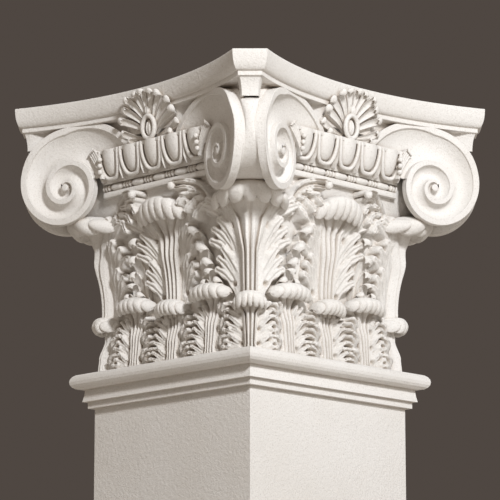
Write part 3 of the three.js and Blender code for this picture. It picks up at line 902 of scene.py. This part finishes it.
# palmettes
palmette = {
    "foot": bandTop - 2, "out": 188.5, "lean": 20.0, "tall": 70.0, "sink": 6.0,
    "hollow": 2.0, "footShare": 0.35,
    # (start, end, half width, roll, reach, bend) of the straps on one side, from the top one down
    "straps": [
        ((2, 20), (17, 66), 5.5, 8.0, 7.0, (0.30, 0.62)), ((4, 17), (34, 60), 5.5, 8.0, 11.0, (0.30, 0.62)),
        ((5, 13), (47, 49), 5.5, 8.0, 6.0, (0.30, 0.62)), ((6, 9), (55, 35), 5.3, 8.0, 10.0, (0.30, 0.62)),
        ((7, 5), (56, 19), 5.0, 7.0, 6.0, (0.6, 0.2)), ((7, 2), (43, 6), 4.8, 7.0, 8.0, (0.6, 0.2)),
    ],
    "middle": ((0, 30), (0, 68), 5.5, 8.0, 10.0, (0.5, 0.5)),
    "loopHalf": 11.5, "loopTall": 15.5, "loopRise": 17.5, "loopOut": 3.0, "loopLean": 0.1, "loopRadius": 3.4,
    # (rise, out, half width, half depth, half height) of the two buds
    "buds": [(17.0, 1.0, 6.4, 7.0, 11.5), (41.0, 6.0, 4.2, 5.0, 7.0)], "slit": 0.30,
}


def palmetteGround(y):
    # the fan leans out, more and more towards its top
    return palmette["lean"] * (np.clip(y, 0, None) / palmette["tall"]) ** 1.4


def onAbacus(local):
    # a frond's own x, y and height in front of the abacus
    x, y, out = np.moveaxis(local, -1, 0)
    return facePoint(x, palmette["out"] - palmette["sink"] + out, palmette["foot"] + y)


def palmetteStrap(start, end, half, roll, reach, bend):
    # one strap of the fan, hollowed along its middle
    p = palmette
    return frondSheet(
        palmetteGround, start, end, half, roll, reach, bend, hollow=p["hollow"], foot=p["footShare"]
    )


def makePalmettes():
    # a fan of hollowed straps round an upright oval loop, a slit bud in the loop and one over it
    p = palmette
    parts = [(onAbacus(palmetteStrap(*p["middle"])), False, True)]
    for strap in p["straps"]:
        parts += mirroredPair(palmetteStrap(*strap), onAbacus)
    turn = np.linspace(0, 2 * np.pi, 37)
    rise = p["loopRise"] - p["loopTall"] * np.cos(turn)
    out = p["out"] + p["loopOut"] + p["loopLean"] * rise
    loop = tube(facePoint(p["loopHalf"] * np.sin(turn), out, p["foot"] + rise), p["loopRadius"], 9)
    parts.append((loop, True, False))
    for rise, out, wide, deep, tall in p["buds"]:
        bud = roundBody(0, p["out"] + out, p["foot"] + rise, wide, deep, tall, (15, 24), p["slit"])
        parts.append((bud, True, True))
    onFourSides("palmette", 70, parts)


# Sprigs. A frond is (start, end, half width, roll, reach).
sprig = {
    "ground": 4.0, "bandOut": 186.0, "bandRise": 8.0,
    # the ribbed leaf that ends the egg band, and the three berries beside it
    "bandLeaf": ((96, -4), (116, 37), 7.0, 3.5, 3.0), "bandBend": (0.2, 0.6), "bandRibs": 4,
    "berry": {"along": 96.0, "alongStep": 0.6, "out": 194.0, "rise": 13.0, "riseStep": 8.5, "radius": 3.6},
    # the ball on which a scroll ends
    "ball": {"along": 39.0, "rise": 229.0, "radius": 5.8, "out": 25.0},
    # smooth lobes that arch over: three beside each upper leaf and the small leaf's three
    "hoods": [
        ((50, 112), (61, 173), 9.5, 14.0, 19.0), ((56, 92), (70, 150), 9.5, 14.0, 18.0),
        ((62, 78), (75, 130), 8.5, 12.0, 15.0), ((74, 56), (75, 117), 7.5, 11.0, 17.0),
        ((71, 56), (60, 103), 6.4, 10.0, 13.0), ((77, 56), (90, 103), 6.4, 10.0, 13.0),
    ],
    "hoodBend": (0.1, 0.7), "hoodHollow": 1.6, "hoodFoot": 0.5,
}


def sprigGround(y):
    # an even height over what the fronds stand on
    return sprig["ground"] + 0 * y


def onBand(local):
    # a frond's own x, y and height in front of the egg band
    x, y, out = np.moveaxis(local, -1, 0)
    return facePoint(x, sprig["bandOut"] + out, ovoloBase + sprig["bandRise"] + y)


def onBell(local):
    # a frond's own x, y and height on the bell's face
    x, y, out = np.moveaxis(local, -1, 0)
    return facePoint(x, bellHalf(base + y) + out, base + y)


def makeSprigs():
    # hoods beside the upper leaves, balls where the scrolls end, and a leaf and berries at each
    # end of the egg band
    parts = []
    for hood in sprig["hoods"]:
        local = frondSheet(
            sprigGround, *hood, sprig["hoodBend"], hollow=sprig["hoodHollow"], foot=sprig["hoodFoot"]
        )
        parts += mirroredPair(local, onBell)
    bandLeaf = frondSheet(sprigGround, *sprig["bandLeaf"], sprig["bandBend"], fingers=sprig["bandRibs"])
    parts += mirroredPair(bandLeaf, onBand)
    balls = []
    end, berry = sprig["ball"], sprig["berry"]
    for side in (-1, 1):
        out = bellHalf(base + end["rise"]) + end["out"]
        balls.append((side * end["along"], out, base + end["rise"], end["radius"]))
        for k in range(3):
            along = side * (berry["along"] - berry["alongStep"] * k)
            rise = ovoloBase + berry["rise"] + berry["riseStep"] * k
            balls.append((along, berry["out"] + k, rise, berry["radius"]))
    for s, d, z, radius in balls:
        parts.append((roundBody(s, d, z, radius, radius, radius, (11, 16)), True, True))
    onFourSides("sprigs", 70, parts)


makeBell()
makeAbacus()
makeVolutes()
makeEggBand()
for leafPlaced in leafPlaces:
    makeLeaf(*leafPlaced)
makePalmettes()
makeSprigs()

# Stage, in metres and degrees. Azimuth is measured from the front, towards the right.
view = {
    "azimuth": 45.0, "elevation": -11.8, "distance": 3.737, "aim": 0.384, "lens": 194.2, "sensor": 36,
    "clipEnd": 100,
}
lightAim = 0.35
# azimuth, elevation, distance, size, power and colour
lights = {
    "key": (62, 24, 3.2, 0.45, 88, (0.985, 0.99, 1.0)),
    "fill": (-8, 38, 3.6, 0.9, 10, (1.0, 0.88, 0.76)),
    "side": (104, 14, 3.6, 0.9, 16, (1.0, 1.0, 1.0)),
    "back": (225, 45, 4.0, 2.0, 50, (1.0, 0.96, 0.92)),
}
surroundings = {
    "floorHalf": 40.0, "floorColour": (0.50, 0.46, 0.41, 1), "floorRoughness": 0.9,
    "skyColour": (1.0, 0.83, 0.68, 1), "skyStrength": 0.15, "seenColour": (0.078, 0.063, 0.054, 1),
}


def standAndAim(name, data, azimuth, elevation, distance, aim):
    # a camera or light at a distance from a point on the axis, turned to look at that point
    holder = bpy.data.objects.new(name, data)
    bpy.context.scene.collection.objects.link(holder)
    a, e = math.radians(azimuth), math.radians(elevation)
    back = Vector((math.sin(a) * math.cos(e), -math.cos(a) * math.cos(e), math.sin(e)))
    holder.location = Vector((0, 0, aim)) + back * distance
    holder.rotation_mode = "QUATERNION"
    holder.rotation_quaternion = (-back).to_track_quat("-Z", "Y")
    return holder


def makeCamera():
    camera = bpy.data.cameras.new("camera")
    camera.sensor_width = view["sensor"]
    camera.lens = view["lens"]
    camera.clip_end = view["clipEnd"]
    bpy.context.scene.camera = standAndAim(
        "camera", camera, view["azimuth"], view["elevation"], view["distance"], view["aim"]
    )


def makeLights():
    # round lights, all aimed at the same point of the axis
    for name, (azimuth, elevation, distance, size, power, colour) in lights.items():
        light = bpy.data.lights.new(name, "AREA")
        light.shape = "DISK"
        light.size = size
        light.energy = power
        light.color = colour
        standAndAim(name, light, azimuth, elevation, distance, lightAim)


def makeFloor():
    # solid from above and clear from below, where the camera stands
    reach = surroundings["floorHalf"]
    corners = [(-reach, -reach, 0), (reach, -reach, 0), (reach, reach, 0), (-reach, reach, 0)]
    plane = bpy.data.meshes.new("floor")
    plane.from_pydata(corners, [], [(0, 1, 2, 3)])
    floor = bpy.data.objects.new("floor", plane)
    bpy.context.scene.collection.objects.link(floor)
    material = bpy.data.materials.new("floor")
    material.use_nodes = True
    tree = material.node_tree
    shader = tree.nodes["Principled BSDF"]
    shader.inputs["Base Color"].default_value = surroundings["floorColour"]
    shader.inputs["Roughness"].default_value = surroundings["floorRoughness"]
    below = Value(tree).node("ShaderNodeNewGeometry", output="Backfacing")
    clear = Value(tree).node("ShaderNodeBsdfTransparent")
    mix = below.node("ShaderNodeMixShader", inputs={0: below, 1: Value(tree, shader.outputs[0]), 2: clear})
    tree.links.new(mix.socket, tree.nodes["Material Output"].inputs["Surface"])
    plane.materials.append(material)


def makeWorld():
    # a dim warm sky lights the stone, and the camera sees a plain dark ground in its place
    world = bpy.data.worlds.new("world")
    bpy.context.scene.world = world
    world.use_nodes = True
    tree = world.node_tree
    sky = tree.nodes["Background"]
    sky.inputs["Color"].default_value = surroundings["skyColour"]
    sky.inputs["Strength"].default_value = surroundings["skyStrength"]
    seen = Value(tree).node("ShaderNodeBackground", inputs={"Color": surroundings["seenColour"]})
    byCamera = Value(tree).node("ShaderNodeLightPath", output="Is Camera Ray")
    mix = seen.node("ShaderNodeMixShader", inputs={0: byCamera, 1: Value(tree, sky.outputs[0]), 2: seen})
    tree.links.new(mix.socket, tree.nodes["World Output"].inputs["Surface"])


makeCamera()
makeLights()
makeFloor()
makeWorld()
bpy.context.scene.view_settings.view_transform = "Standard"
print("camera, lights, floor and background in place")
